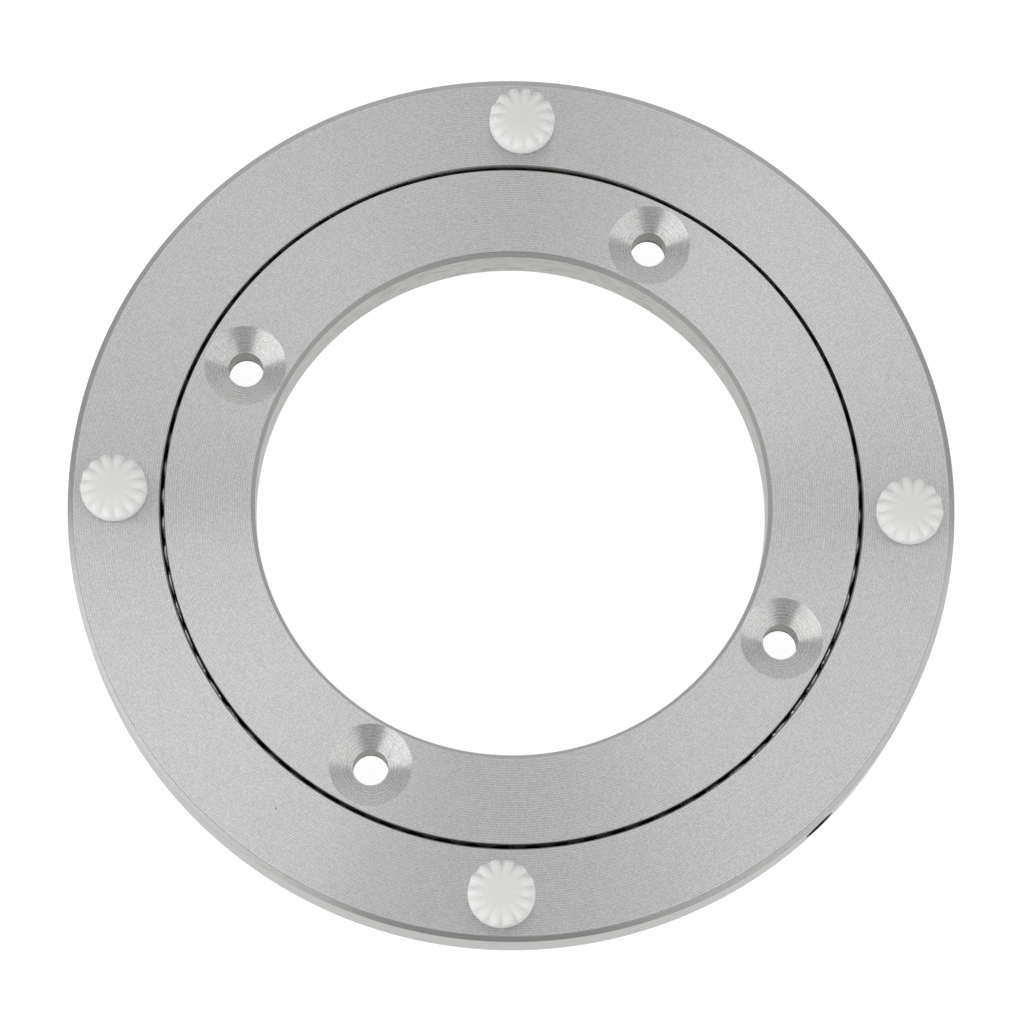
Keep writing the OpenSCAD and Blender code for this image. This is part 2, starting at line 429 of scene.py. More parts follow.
def turned_aluminium(name, across, colour, roughness, pitch, depth, unevenness=0.5, grain=0.0,
                     tone=0.06, line_tone=0.07, fleck=0.15, metallic=1.0, stain=(0.3, 0.29, 0.27),
                     stain_size=4.0, stain_cover=0.2, stain_flatness=1.0, stain_depth=0.35,
                     speck_cover=0.05, scratch_cover=0.0, edges=(), painted_shade_zone=None):
    """Aluminium with the lines of its turning, and with marks from handling. Lengths are in
    millimetres. An edge is the radius and height of an edge that is lightened, as rubbed metal
    and as a painted highlight, and how far that reaches. A painted shade zone is a measure,
    the two values of it between which the metal darkens to a painted shade, and the colour
    there."""
    material, tree, shader, place = start_finish(name)
    marks = use(tree, TURNING_MARKS, {"Vector": place, "Across": across(tree, place),
                                      "Pitch": pitch * MM, "Unevenness": unevenness})
    handling = handled(tree, place, stain_size, stain_cover, speck_cover, scratch_cover, stain_flatness)

    shade = scaled(tree, marks["Tone"], 2 * tone, 1 - tone - line_tone - fleck)
    shade = scaled(tree, marks["Height"], 2 * line_tone, shade)
    shade = scaled(tree, noise(tree, place, FLECK_SCALE, 1.0), 2 * fleck, shade)
    shown = add(tree, "ShaderNodeVectorMath", {0: colour, "Scale": shade}, operation="SCALE").outputs[0]
    # Painted shade: deeper in a gap or hole the metal darkens towards a near-black colour, where shade falls
    if painted_shade_zone is not None:
        measure, start, end, painted_shade_colour = painted_shade_zone
        in_shade = ramp(tree, measure(tree, place), start * MM, end * MM)
        shown = mix_colour(tree, in_shade, shown, painted_shade_colour)
    shown = mix_colour(tree, times(tree, handling["Stain"], stain_depth), shown, stain)
    if edges:
        worn_and_lit = 0.0
        for radius, height, reach in edges:
            rubbed_and_lit = use(tree, EDGE_WEAR_AND_HIGHLIGHT, {"Vector": place, "Edge Radius": radius * MM,
                                           "Edge Height": height * MM, "Reach": reach * MM})
            worn_and_lit = calc(tree, "MAXIMUM", worn_and_lit, rubbed_and_lit["Wear And Highlight"])
        # Edges lighter than the face: partly rubbed metal, partly a painted highlight along the edge
        shown = mix_colour(tree, times(tree, worn_and_lit, 0.6), shown, brighter(colour, 1.5))
    shown = mix_colour(tree, times(tree, handling["Scratch"], 0.25), shown, brighter(colour, 1.4))
    shown = mix_colour(tree, times(tree, handling["Speck"], 0.7), shown, (0.12, 0.11, 0.1))
    tree.links.new(shown, shader["Base Color"])

    tone_spread, stain_gain, scratch_gain = 0.12, 0.08, -0.05
    rough = scaled(tree, marks["Tone"], tone_spread, roughness - tone_spread / 2)
    rough = scaled(tree, handling["Stain"], stain_gain, rough)
    rough = scaled(tree, handling["Scratch"], scratch_gain, rough, clamp=True)
    tree.links.new(rough, shader["Roughness"])

    height = marks["Height"]
    if grain:
        height = scaled(tree, noise(tree, place, DENT_SCALE, 4.0, 0.65), grain, height)
    height = scaled(tree, handling["Scratch"], -0.6, height)
    raise_surface(tree, shader, height, depth)
    shader["Metallic"].default_value = metallic
    return material


def with_sheen(material, tangent, amount):
    """Stretches a finish's highlights across the tool's lines, which run along a tangent."""
    quarter_turn = 0.25
    shader = material.node_tree.nodes["Principled BSDF"].inputs
    material.node_tree.links.new(tangent, shader["Tangent"])
    shader["Anisotropic"].default_value = amount
    shader["Anisotropic Rotation"].default_value = quarter_turn
    return material


def with_turned_sheen(material, amount):
    """Sheen across the lines of turning round the bearing's axis."""
    tangent = add(material.node_tree, "ShaderNodeTangent", direction_type="RADIAL", axis="Z")
    return with_sheen(material, tangent.outputs["Tangent"], amount)


def with_cutter_sheen(material, amount):
    """Sheen across the cutter's rings round the nearest screw hole."""
    tree = material.node_tree
    place = add(tree, "ShaderNodeTexCoord").outputs["Object"]
    x, y = from_nearest_hole(tree, place, SCREW_CIRCLE_R * MM, math.radians(SCREW_TURN))
    round_hole = vector_of(tree, X=times(tree, y, -1.0), Y=x)
    tangent = add(tree, "ShaderNodeVectorTransform", {"Vector": round_hole}, vector_type="VECTOR",
                  convert_from="OBJECT", convert_to="WORLD").outputs[0]
    return with_sheen(material, vector_calc(tree, "NORMALIZE", tangent), amount)


# Faces of both rings; their edges are lightened as rubbed metal and as a painted highlight
turned_face = with_turned_sheen(turned_aluminium(
    "turned_face", across_radius, colour=(0.6, 0.6, 0.6), roughness=0.5, pitch=0.33, depth=0.006,
    unevenness=0.35, line_tone=0.13, fleck=0.28, scratch_cover=0.1,
    edges=((HOLE_R + HOLE_BEVEL[0], RING_T, 0.12), (INNER_R - EDGE_BREAK, RING_T, 0.15),
           (OUTER_BORE_R + GAP_BEVEL, RING_T, 0.15), (OUTER_R - RIM_BEVEL[0], RING_T, 0.12))), 0.9)
# Inner ring's bevels: the face's aluminium at half its brightness, painted shade
turned_edge = with_turned_sheen(turned_aluminium(
    "turned_edge", across_radius, colour=(0.3, 0.3, 0.295), roughness=0.35, pitch=0.12, depth=0.006,
    unevenness=0.8), 0.6)
# Outer ring's bevels: a darker copy of the face's aluminium, painted shade
rim_edge = with_turned_sheen(turned_aluminium(
    "rim_edge", across_radius, colour=(0.35, 0.35, 0.345), roughness=0.34, pitch=0.2, depth=0.006,
    unevenness=0.8, tone=0.12, line_tone=0.1), 0.75)
# Outer ring's side wall: a darker copy of the face's aluminium, painted shade, with real stains
rim_side = turned_aluminium(
    "rim_side", across_height, colour=(0.39, 0.385, 0.375), roughness=0.36, pitch=0.22, depth=0.01,
    unevenness=0.7, stain_cover=0.3, stain_flatness=3.0)
# Inner ring's hole wall: a darker copy of the face's aluminium, painted shade, with real stains and grain
hole_side = turned_aluminium(
    "hole_side", across_height, colour=(0.43, 0.425, 0.412), roughness=0.42, pitch=0.3, depth=0.03,
    unevenness=0.9, grain=1.2, tone=0.16, speck_cover=0.2, stain=(0.2, 0.19, 0.175), stain_size=2.4,
    stain_cover=0.65, stain_flatness=7.0, stain_depth=0.38)
# Inner ring's wall of the running gap: dark brown, and black deeper in the gap as painted shade
inner_gap_side = turned_aluminium(
    "inner_gap_side", across_height, colour=(0.1, 0.07, 0.06), roughness=0.4, pitch=0.2, depth=0.02,
    unevenness=0.8, metallic=0.4, stain=(0.03, 0.02, 0.015), stain_size=3.0, stain_cover=0.7,
    painted_shade_zone=(from_balls, 3.75, 3.2, (0.02, 0.014, 0.012)))
# Outer ring's wall of the running gap: olive grey, and nearly black deeper in the gap as painted shade
outer_gap_side = turned_aluminium(
    "outer_gap_side", across_height, colour=(0.36, 0.35, 0.31), roughness=0.4, pitch=0.2, depth=0.02,
    unevenness=0.8, metallic=0.3, stain=(0.2, 0.18, 0.14), stain_size=3.0, stain_cover=0.5,
    painted_shade_zone=(from_balls, 3.75, 3.2, (0.02, 0.02, 0.025)))
# Race: near black, darker than any other face of the rings
race_side = turned_aluminium(
    "dark_race", across_height, colour=(0.06, 0.05, 0.04), roughness=0.35, pitch=0.15, depth=0.01,
    stain=(0.02, 0.015, 0.01), stain_cover=0.8)
countersink_cone = with_cutter_sheen(turned_aluminium(
    "countersink_cone", from_screw_hole, colour=(0.56, 0.56, 0.555), roughness=0.42, pitch=0.42,
    depth=0.04, unevenness=0.9, tone=0.1, line_tone=0.09, fleck=0.4, speck_cover=0.08,
    scratch_cover=0.1), 0.95)
# Screw hole bore: much darker than the faces and darker still towards its lower end, both painted shade in
# the narrow hole, with stains on top
drilled_bore = turned_aluminium(
    "drilled_bore", across_height, colour=(0.2, 0.195, 0.18), roughness=0.4, pitch=0.35, depth=0.04,
    unevenness=0.9, grain=0.6, stain=(0.05, 0.045, 0.04), stain_size=2.0, stain_cover=0.6,
    painted_shade_zone=(across_height, 3.1, 2.5, (0.03, 0.028, 0.025)))
# Port bore: aluminium coloured near black, a painted shade for the dark hole
port_bore = turned_aluminium(
    "port_bore", across_height, colour=(0.03, 0.018, 0.015), roughness=0.4, pitch=0.35, depth=0.04,
    unevenness=0.9, grain=0.6, metallic=0.4)


def polished_steel():
    """Ball steel with a film of oil."""
    material, tree, shader, place = start_finish("polished_steel")
    oil = handled(tree, place, stain_size=1.6, stain_cover=0.6, speck_cover=0.1)["Stain"]
    shown = mix_colour(tree, times(tree, oil, 0.8), (0.4, 0.4, 0.4), (0.2, 0.17, 0.13))
    tree.links.new(shown, shader["Base Color"])
    tree.links.new(scaled(tree, oil, 0.2, 0.12), shader["Roughness"])
    shader["Metallic"].default_value = 1.0
    return material


def white_silicone():
    """Moulded silicone, a little dusty, that lets some light in."""
    material, tree, shader, place = start_finish("white_silicone")
    handling = handled(tree, place, stain_size=1.5, stain_cover=0.25, speck_cover=0.04)
    dust = times(tree, handling["Stain"], 0.3)
    shown = mix_colour(tree, dust, (0.78, 0.78, 0.765), (0.7, 0.69, 0.66))
    shown = mix_colour(tree, times(tree, handling["Speck"], 0.6), shown, (0.4, 0.38, 0.35))
    tree.links.new(shown, shader["Base Color"])
    tree.links.new(scaled(tree, handling["Stain"], 0.1, 0.62), shader["Roughness"])
    raise_surface(tree, shader, noise(tree, place, SKIN_SCALE, 3.0), depth=0.015, strength=0.6)
    shader["Subsurface Weight"].default_value = 0.8
    shader["Subsurface Radius"].default_value = (1.0, 0.97, 0.94)
    shader["Subsurface Scale"].default_value = 3.2 * MM
    shader["Specular IOR Level"].default_value = 0.16
    return material


def black_oxide():
    """Blackened steel of the set screw, with browner patches."""
    material, tree, shader, place = start_finish("black_oxide")
    patches = handled(tree, place, stain_size=1.0, stain_cover=0.5, speck_cover=0.1)["Stain"]
    shown = mix_colour(tree, patches, (0.045, 0.032, 0.03), (0.09, 0.06, 0.045))
    tree.links.new(shown, shader["Base Color"])
    tree.links.new(scaled(tree, patches, 0.2, 0.38), shader["Roughness"])
    raise_surface(tree, shader, patches, depth=0.02, strength=0.5)
    shader["Metallic"].default_value = 0.7
    return material


ball_steel = polished_steel()
pad_silicone = white_silicone()
plug_steel = black_oxide()
RING_FINISHES = {FACE: turned_face, EDGE: turned_edge, RACE: race_side, CONE: countersink_cone,
                 BORE: drilled_bore}


# ---- Shape helpers ----

def moved(tree, shape, **move):
    """Shape after a move, a turn or both."""
    return add(tree, "GeometryNodeTransform", {"Geometry": shape, **move}).outputs[0]


def laid_outwards(tree, shape, start, height, turn):
    """Lays down a shape that stands on the axis, so that it points outwards from a start."""
    shape = moved(tree, shape, Translation=vector_of(tree, X=start, Z=height),
                  Rotation=(0.0, math.pi / 2, 0.0))
    return moved(tree, shape, Rotation=vector_of(tree, Z=turn))


def on_circle(tree, shape, count, radius, **turn):
    """Copies of a shape, evenly spaced on a circle round the axis."""
    circle = add(tree, "GeometryNodeMeshCircle", {"Vertices": count, "Radius": radius}).outputs[0]
    inputs = {"Points": circle, "Instance": shape, **turn}
    return add(tree, "GeometryNodeInstanceOnPoints", inputs).outputs[0]


def cut_away(tree, shape, cutter):
    """Shape without what the cutter takes."""
    inputs = {"Mesh 1": shape, "Mesh 2": cutter}
    return add(tree, "GeometryNodeMeshBoolean", inputs, operation="DIFFERENCE", solver="EXACT").outputs[0]


def carried_finish(tree):
    """Finish that a shape's points or faces carry."""
    return add(tree, "GeometryNodeInputNamedAttribute", {"Name": "finish"}, data_type="INT").outputs[0]


def with_finish(tree, shape, finish):
    """Gives the faces of a shape a finish to carry."""
    inputs = {"Geometry": shape, "Name": "finish", "Value": finish}
    return add(tree, "GeometryNodeStoreNamedAttribute", inputs, data_type="INT", domain="FACE").outputs[0]


def from_point(tree, section, value, index, kind):
    """Value that a section has at one of its points."""
    inputs = {"Geometry": section, "Value": value, "Index": index}
    return add(tree, "GeometryNodeSampleIndex", inputs, data_type=kind).outputs[0]


def finish_faces(tree, shape, finishes):
    """Ends a tree: makes instances real, and gives each face the material of its finish."""
    shape = add(tree, "GeometryNodeRealizeInstances", {"Geometry": shape}).outputs[0]
    shape = add(tree, "GeometryNodeSetShadeSmooth", {"Geometry": shape}).outputs[0]
    if not isinstance(finishes, dict):
        return add(tree, "GeometryNodeSetMaterial", {"Geometry": shape, "Material": finishes}).outputs[0]
    finish = carried_finish(tree)
    for number, material in finishes.items():
        chosen = add(tree, "FunctionNodeCompare", {2: finish, 3: number}, data_type="INT", operation="EQUAL")
        inputs = {"Geometry": shape, "Selection": chosen.outputs[0], "Material": material}
        shape = add(tree, "GeometryNodeSetMaterial", inputs).outputs[0]
    return shape


# ---- Shape trees ----

def revolve_group():
    """Turns a section, given as points in order, once round the axis."""
    tree, given, put = shape_tree("revolve", {"Section": SHAPE, "Segments": RING_SEGMENTS, "Closed": True})
    section = given["Section"]
    count = add(tree, "GeometryNodeAttributeDomainSize", {"Geometry": section}).outputs["Point Count"]
    rows = plus(tree, count, given["Closed"])
    columns = plus(tree, given["Segments"], 1.0)
    grid = add(tree, "GeometryNodeMeshGrid", {"Vertices X": columns, "Vertices Y": rows}).outputs["Mesh"]
    index = add(tree, "GeometryNodeInputIndex").outputs[0]
    column = calc(tree, "FLOOR", over(tree, index, rows))
    row = calc(tree, "MODULO", calc(tree, "MODULO", index, rows), count)
    place = add(tree, "GeometryNodeInputPosition").outputs[0]
    point = axes(tree, from_point(tree, section, place, row, "FLOAT_VECTOR"))
    angle = times(tree, over(tree, column, given["Segments"]), math.tau)
    turned = vector_of(tree, X=times(tree, point["X"], calc(tree, "COSINE", angle)),
                       Y=times(tree, point["X"], calc(tree, "SINE", angle)), Z=point["Z"])
    shape = add(tree, "GeometryNodeSetPosition", {"Geometry": grid, "Position": turned}).outputs[0]

    strip = calc(tree, "MODULO", index, minus(tree, rows, 1.0))
    shape = with_finish(tree, shape, from_point(tree, section, carried_finish(tree), strip, "INT"))
    shape = add(tree, "GeometryNodeMergeByDistance", {"Geometry": shape, "Distance": WELD * MM})
    tree.links.new(shape.outputs[0], put["Mesh"])
    return tree


REVOLVE = revolve_group()


def revolved(tree, section, segments, closed=False):
    """Solid that a section makes when it is turned round the axis."""
    return use(tree, REVOLVE, {"Section": section, "Segments": segments, "Closed": closed})["Mesh"]


def drilled_ring_tree(name, finishes, with_port=False):
    """Turned ring with a circle of holes, and with or without a port through its side."""
    sizes = {"Section": SHAPE, "Segments": RING_SEGMENTS, "Drill": OBJECT, "Drill Segments": HOLE_SEGMENTS,
             "Hole Count": 4, "Hole Circle Radius": 0.0, "Hole Turn": 0.0}
    if with_port:
        sizes |= {"Port Radius": 0.0, "Port Start": 0.0, "Port Length": 0.0, "Port Height": 0.0,
                  "Port Turn": 0.0}
    tree, given, put = shape_tree(name, sizes)
    ring = revolved(tree, given["Section"], given["Segments"], closed=True)

    drill = add(tree, "GeometryNodeObjectInfo", {"Object": given["Drill"]}).outputs["Geometry"]
    drill = revolved(tree, drill, given["Drill Segments"])
    drills = on_circle(tree, drill, given["Hole Count"], given["Hole Circle Radius"])
    drills = moved(tree, drills, Rotation=vector_of(tree, Z=given["Hole Turn"]))
    drills = add(tree, "GeometryNodeRealizeInstances", {"Geometry": drills}).outputs[0]
    cut = cut_away(tree, ring, drills)

    if with_port:
        size = {"Vertices": given["Drill Segments"], "Radius": given["Port Radius"],
                "Depth": given["Port Length"]}
        port = with_finish(tree, add(tree, "GeometryNodeMeshCylinder", size).outputs["Mesh"], BORE)
        middle = scaled(tree, given["Port Length"], 0.5, given["Port Start"])
        port = laid_outwards(tree, port, middle, given["Port Height"], given["Port Turn"])
        cut = cut_away(tree, cut, port)
    tree.links.new(finish_faces(tree, cut, finishes), put["Mesh"])
    return tree


def fluted_pads_tree():
    """Pads on their circle, pressed down and notched by flutes that deepen to their rims."""
    tree, given, put = shape_tree(
        "fluted pads",
        {"Section": SHAPE, "Segments": FLUTE_SEGMENTS * FLUTE_COUNT, "Radius": 0.0, "Height": 0.0,
         "Plain Wall": 0.0, "Flute Count": FLUTE_COUNT, "Flute Start": 0.0, "Flute Depth": 0.0,
         "Rim Notch": 0.0, "Start Width": 0.0, "Rim Width": 0.0, "Flute Curve": 2.0,
         "Flute Sharpness": 1.5, "Circle Radius": 0.0, "Seat Height": 0.0,
         **{f"Turn {i + 1}": 0.0 for i in range(PAD_COUNT)}})
    pad = revolved(tree, given["Section"], given["Segments"])
    place = axes(tree, add(tree, "GeometryNodeInputPosition").outputs[0])
    radius = across_both(tree, place["X"], place["Y"])
    flutes = times(tree, round_axis(tree, place), given["Flute Count"])
    off_flute = minus(tree, 1.0, to_and_fro(tree, flutes))
    aside = over(tree, times(tree, off_flute, radius, math.pi), given["Flute Count"])
    out = over(tree, minus(tree, radius, given["Flute Start"]),
               minus(tree, given["Radius"], given["Flute Start"]), clamp=True)
    width = scaled(tree, out, minus(tree, given["Rim Width"], given["Start Width"]), given["Start Width"])
    dip = ramp(tree, aside, times(tree, width, 0.5), 0.0)
    dip = calc(tree, "POWER", dip, given["Flute Sharpness"])
    deeper = calc(tree, "POWER", out, given["Flute Curve"])
    above = ramp(tree, place["Z"], given["Plain Wall"], given["Height"])
    press = times(tree, dip, deeper, above)
    pull = over(tree, times(tree, press, given["Rim Notch"], -1.0), radius)
    shift = vector_of(tree, X=times(tree, place["X"], pull), Y=times(tree, place["Y"], pull),
                      Z=times(tree, press, given["Flute Depth"], -1.0))
    pad = add(tree, "GeometryNodeSetPosition", {"Geometry": pad, "Offset": shift}).outputs[0]

    choose = add(tree, "GeometryNodeIndexSwitch", data_type="FLOAT")
    while len(choose.index_switch_items) < PAD_COUNT:
        choose.index_switch_items.new()
    tree.links.new(add(tree, "GeometryNodeInputIndex").outputs[0], choose.inputs["Index"])
    for i in range(PAD_COUNT):
        tree.links.new(given[f"Turn {i + 1}"], choose.inputs[i + 1])
    turn = add(tree, "FunctionNodeEulerToRotation", {0: vector_of(tree, Z=choose.outputs[0])}).outputs[0]
    pads = on_circle(tree, pad, PAD_COUNT, given["Circle Radius"], Rotation=turn)
    pads = moved(tree, pads, Translation=vector_of(tree, Z=given["Seat Height"]))
    tree.links.new(finish_faces(tree, pads, pad_silicone), put["Mesh"])
    return tree


def ball_circle_tree():
    """Full circle of balls."""
    tree, given, put = shape_tree(
        "ball circle", {"Ball Count": BALL_COUNT, "Ball Radius": 0.0, "Pitch Radius": 0.0, "Height": 0.0})
    size = {"Segments": 32, "Rings": 16, "Radius": given["Ball Radius"]}
    ball = add(tree, "GeometryNodeMeshUVSphere", size).outputs["Mesh"]
    balls = on_circle(tree, ball, given["Ball Count"], given["Pitch Radius"])
    balls = moved(tree, balls, Translation=vector_of(tree, Z=given["Height"]))
    tree.links.new(finish_faces(tree, balls, ball_steel), put["Mesh"])
    return tree


def set_screw_tree():
    """Socket set screw: a shank with a screw thread, and a hexagon socket in its outer end."""
    tree, given, put = shape_tree(
        "set screw",
        {"Section": SHAPE, "Segments": SCREW_SEGMENTS, "Radius": 0.0, "Length": 0.0, "Thread Pitch": 0.0,
         "Thread Depth": 0.0, "Socket Width": 0.0, "Socket Depth": 0.0, "Start": 0.0, "Axis Height": 0.0,
         "Turn": 0.0})
    shank = revolved(tree, given["Section"], given["Segments"])
    place = axes(tree, add(tree, "GeometryNodeInputPosition").outputs[0])
    radius = across_both(tree, place["X"], place["Y"])
    turns = minus(tree, over(tree, place["Z"], given["Thread Pitch"]), round_axis(tree, place))
    shank_share, least_radius = 0.99, 0.001 * MM
    on_shank = calc(tree, "GREATER_THAN", radius, times(tree, given["Radius"], shank_share))
    cut = times(tree, to_and_fro(tree, turns), on_shank, given["Thread Depth"])
    inward = over(tree, minus(tree, radius, cut), calc(tree, "MAXIMUM", radius, least_radius))
    squeezed = vector_of(tree, X=times(tree, place["X"], inward), Y=times(tree, place["Y"], inward),
                         Z=place["Z"])
    shank = add(tree, "GeometryNodeSetPosition", {"Geometry": shank, "Position": squeezed}).outputs[0]

    sides = 6
    corner_r = over(tree, given["Socket Width"], 2 * math.cos(math.pi / sides))
    depth = plus(tree, given["Socket Depth"], SOCKET_OVERRUN * MM)
    size = {"Vertices": sides, "Radius": corner_r, "Depth": depth}
    hexagon = add(tree, "GeometryNodeMeshCylinder", size).outputs["Mesh"]
    top = plus(tree, given["Length"], SOCKET_OVERRUN * MM)
    middle = minus(tree, top, times(tree, depth, 0.5))
    hexagon = moved(tree, hexagon, Translation=vector_of(tree, Z=middle))
    screw = cut_away(tree, shank, hexagon)
    screw = laid_outwards(tree, screw, given["Start"], given["Axis Height"], given["Turn"])
    tree.links.new(finish_faces(tree, screw, plug_steel), put["Mesh"])
    return tree


# ---- Making pieces from trees ----

def section_object(name, points):
    """Object that holds a section: points (radius, height, finish) in millimetres."""
    mesh = bpy.data.meshes.new(name)
    mesh.from_pydata([(point[0] * MM, 0.0, point[1] * MM) for point in points], [], [])
    finish = mesh.attributes.new("finish", "INT", "POINT")
    for i, point in enumerate(points):
        finish.data[i].value = point[2] if len(point) > 2 else 0
    made = bpy.data.objects.new(name, mesh)
    bpy.context.scene.collection.objects.link(made)
    return made


def make_piece(name, points, tree, sizes, sharp=8.0):
    """Runs a tree on a section, keeps the plain mesh, and marks its sharp edges."""
    piece = section_object(name, points)
    modifier = piece.modifiers.new("shape", "NODES")
    modifier.node_group = tree
    identifiers = {item.name: item.identifier for item in tree.interface.items_tree
                   if item.item_type == "SOCKET" and item.in_out == "INPUT"}
    for label, value in sizes.items():
        modifier[identifiers[label]] = value
    solid = bpy.data.meshes.new_from_object(piece.evaluated_get(bpy.context.evaluated_depsgraph_get()))
    piece.modifiers.clear()
    piece.data = solid
    solid.name = name
    solid.set_sharp_from_angle(angle=math.radians(sharp))
    return piece


def break_corners(points, size):
    """Takes the burr off each corner of a closed section with a tiny flat, which takes a
    third of a short side at most. A corner of a few degrees is part of a curve and stays."""
    smallest_corner, side_share = math.radians(20.0), 1 / 3
    broken = []
    for i, (r, z, finish) in enumerate(points):
        before, after = points[i - 1], points[(i + 1) % len(points)]
        here = Vector((r, z))
        back, ahead = Vector(before[:2]) - here, Vector(after[:2]) - here
        if math.pi - back.angle(ahead) < smallest_corner:
            broken.append((r, z, finish))
            continue
        start = here + back.normalized() * min(size, back.length * side_share)
        end = here + ahead.normalized() * min(size, ahead.length * side_share)
        broken += [(*start, EDGE), (*end, finish)]
    return broken


def arc(centre, radius, start, end, steps, *finish):
    """Points of an arc, by angles in degrees."""
    angles = [math.radians(start + (end - start) * i / steps) for i in range(steps + 1)]
    return [(centre[0] + radius * math.cos(angle), centre[1] + radius * math.sin(angle), *finish)
            for angle in angles]


def race_arc(start, end):
    """Race from one edge to the other, and on to the wall of the running gap."""
    points = arc((PITCH_R, RACE_Z), RACE_R, start, end, RACE_STEPS, RACE)
    return [*points[:-1], (*points[-1][:2], GAP_SIDE)]


# ---- Pieces ----

race_half_angle = math.degrees(math.acos((PITCH_R - INNER_R) / RACE_R))

inner_ring_section = break_corners([
    (HOLE_R + HOLE_BEVEL[0], 0.0, FACE),
    (INNER_R - EDGE_BREAK, 0.0, EDGE),
    (INNER_R, EDGE_BREAK, GAP_SIDE),
    *race_arc(180 + race_half_angle, 180 - race_half_angle),
    (INNER_R, RING_T - EDGE_BREAK, EDGE),
    (INNER_R - EDGE_BREAK, RING_T, FACE),
    (HOLE_R + HOLE_BEVEL[0], RING_T, EDGE),
    (HOLE_R, RING_T - HOLE_BEVEL[1], SIDE),
    (HOLE_R, HOLE_BEVEL[1], EDGE),
], BURR_BREAK)

outer_ring_section = break_corners([
    (OUTER_BORE_R + GAP_BEVEL, GROUND_GAP, FACE),
    (OUTER_R - RIM_BEVEL[0], GROUND_GAP, EDGE),
    (OUTER_R, GROUND_GAP + RIM_BEVEL[1], SIDE),
    (OUTER_R, RING_T - RIM_BEVEL[1], EDGE),
    (OUTER_R - RIM_BEVEL[0], RING_T, FACE),
    (OUTER_BORE_R + GAP_BEVEL, RING_T, EDGE),
    (OUTER_BORE_R, RING_T - GAP_BEVEL, GAP_SIDE),
    *race_arc(race_half_angle, -race_half_angle),
    (OUTER_BORE_R, GROUND_GAP + GAP_BEVEL, EDGE),
], BURR_BREAK)

countersink_slope = math.tan(math.radians(COUNTERSINK_ANGLE / 2))
countersink_depth = (COUNTERSINK_R - SCREW_HOLE_R) / countersink_slope
countersink_cut_r = COUNTERSINK_R + OVERRUN * countersink_slope
screw_drill = section_object("screw_drill", [
    (0.0, -OVERRUN, CONE),
    (countersink_cut_r, -OVERRUN, CONE),
    (SCREW_HOLE_R, countersink_depth, BORE),
    (SCREW_HOLE_R, RING_T - countersink_depth, CONE),
    (countersink_cut_r, RING_T + OVERRUN, CONE),
    (0.0, RING_T + OVERRUN, CONE),
])
pad_hole_r = STEM_R + STEM_GAP
barb_seat_h = BARB_SEAT_R - pad_hole_r
pad_drill = section_object("pad_drill", [
    (0.0, GROUND_GAP - OVERRUN, CONE),
    (BARB_SEAT_R + OVERRUN, GROUND_GAP - OVERRUN, CONE),
    (pad_hole_r, GROUND_GAP + barb_seat_h, BORE),
    (pad_hole_r, RING_T + OVERRUN, BORE),
    (0.0, RING_T + OVERRUN, BORE),
])

inner_ring = make_piece(
    "inner_ring_turned", inner_ring_section,
    drilled_ring_tree("inner ring", {**RING_FINISHES, SIDE: hole_side, GAP_SIDE: inner_gap_side}),
    {"Segments": RING_SEGMENTS, "Drill": screw_drill, "Drill Segments": HOLE_SEGMENTS,
     "Hole Count": SCREW_COUNT, "Hole Circle Radius": SCREW_CIRCLE_R * MM,
     "Hole Turn": math.radians(SCREW_TURN)})
outer_ring = make_piece(
    "outer_ring_turned", outer_ring_section,
    drilled_ring_tree("outer ring", {**RING_FINISHES, EDGE: rim_edge, SIDE: rim_side,
                                     GAP_SIDE: outer_gap_side, BORE: port_bore}, with_port=True),
    {"Segments": RING_SEGMENTS, "Drill": pad_drill, "Drill Segments": HOLE_SEGMENTS,
     "Hole Count": PAD_COUNT, "Hole Circle Radius": PAD_CIRCLE_R * MM, "Hole Turn": 0.0,
     "Port Radius": PORT_R * MM, "Port Start": PITCH_R * MM,
     "Port Length": (OUTER_R - PITCH_R + OVERRUN) * MM, "Port Height": RACE_Z * MM,
     "Port Turn": math.radians(PORT_ANGLE)})
for drill in (screw_drill, pad_drill):
    bpy.data.objects.remove(drill)

# Heights of the pad's section are measured from its seat on the outer ring
TOP_SHARES = (0.0, 0.12, 0.24, 0.33, 0.4, 0.48, 0.56, 0.64, 0.7, 0.74)
WALL_SHARES = (0.75, 0.5, 0.25)
stem_end = GROUND_GAP + STEM_RECESS - RING_T
barb_z = GROUND_GAP + barb_seat_h - RING_T
wall_h = PAD_H - PAD_RIM_R - PAD_FOOT_R
pad_section = [
    *[(PAD_R * share, PAD_H) for share in TOP_SHARES],
    *arc((PAD_R - PAD_RIM_R, PAD_H - PAD_RIM_R), PAD_RIM_R, 90, 0, 10),
    *[(PAD_R, PAD_FOOT_R + wall_h * share) for share in WALL_SHARES],
    *arc((PAD_R - PAD_FOOT_R, PAD_FOOT_R), PAD_FOOT_R, 0, -90, 5),
    (STEM_R, 0.0),
    (STEM_R, barb_z),
    (BARB_R, barb_z - (BARB_R - STEM_R)),
    (STEM_R - STEM_RECESS, stem_end),
    (0.0, stem_end),
]
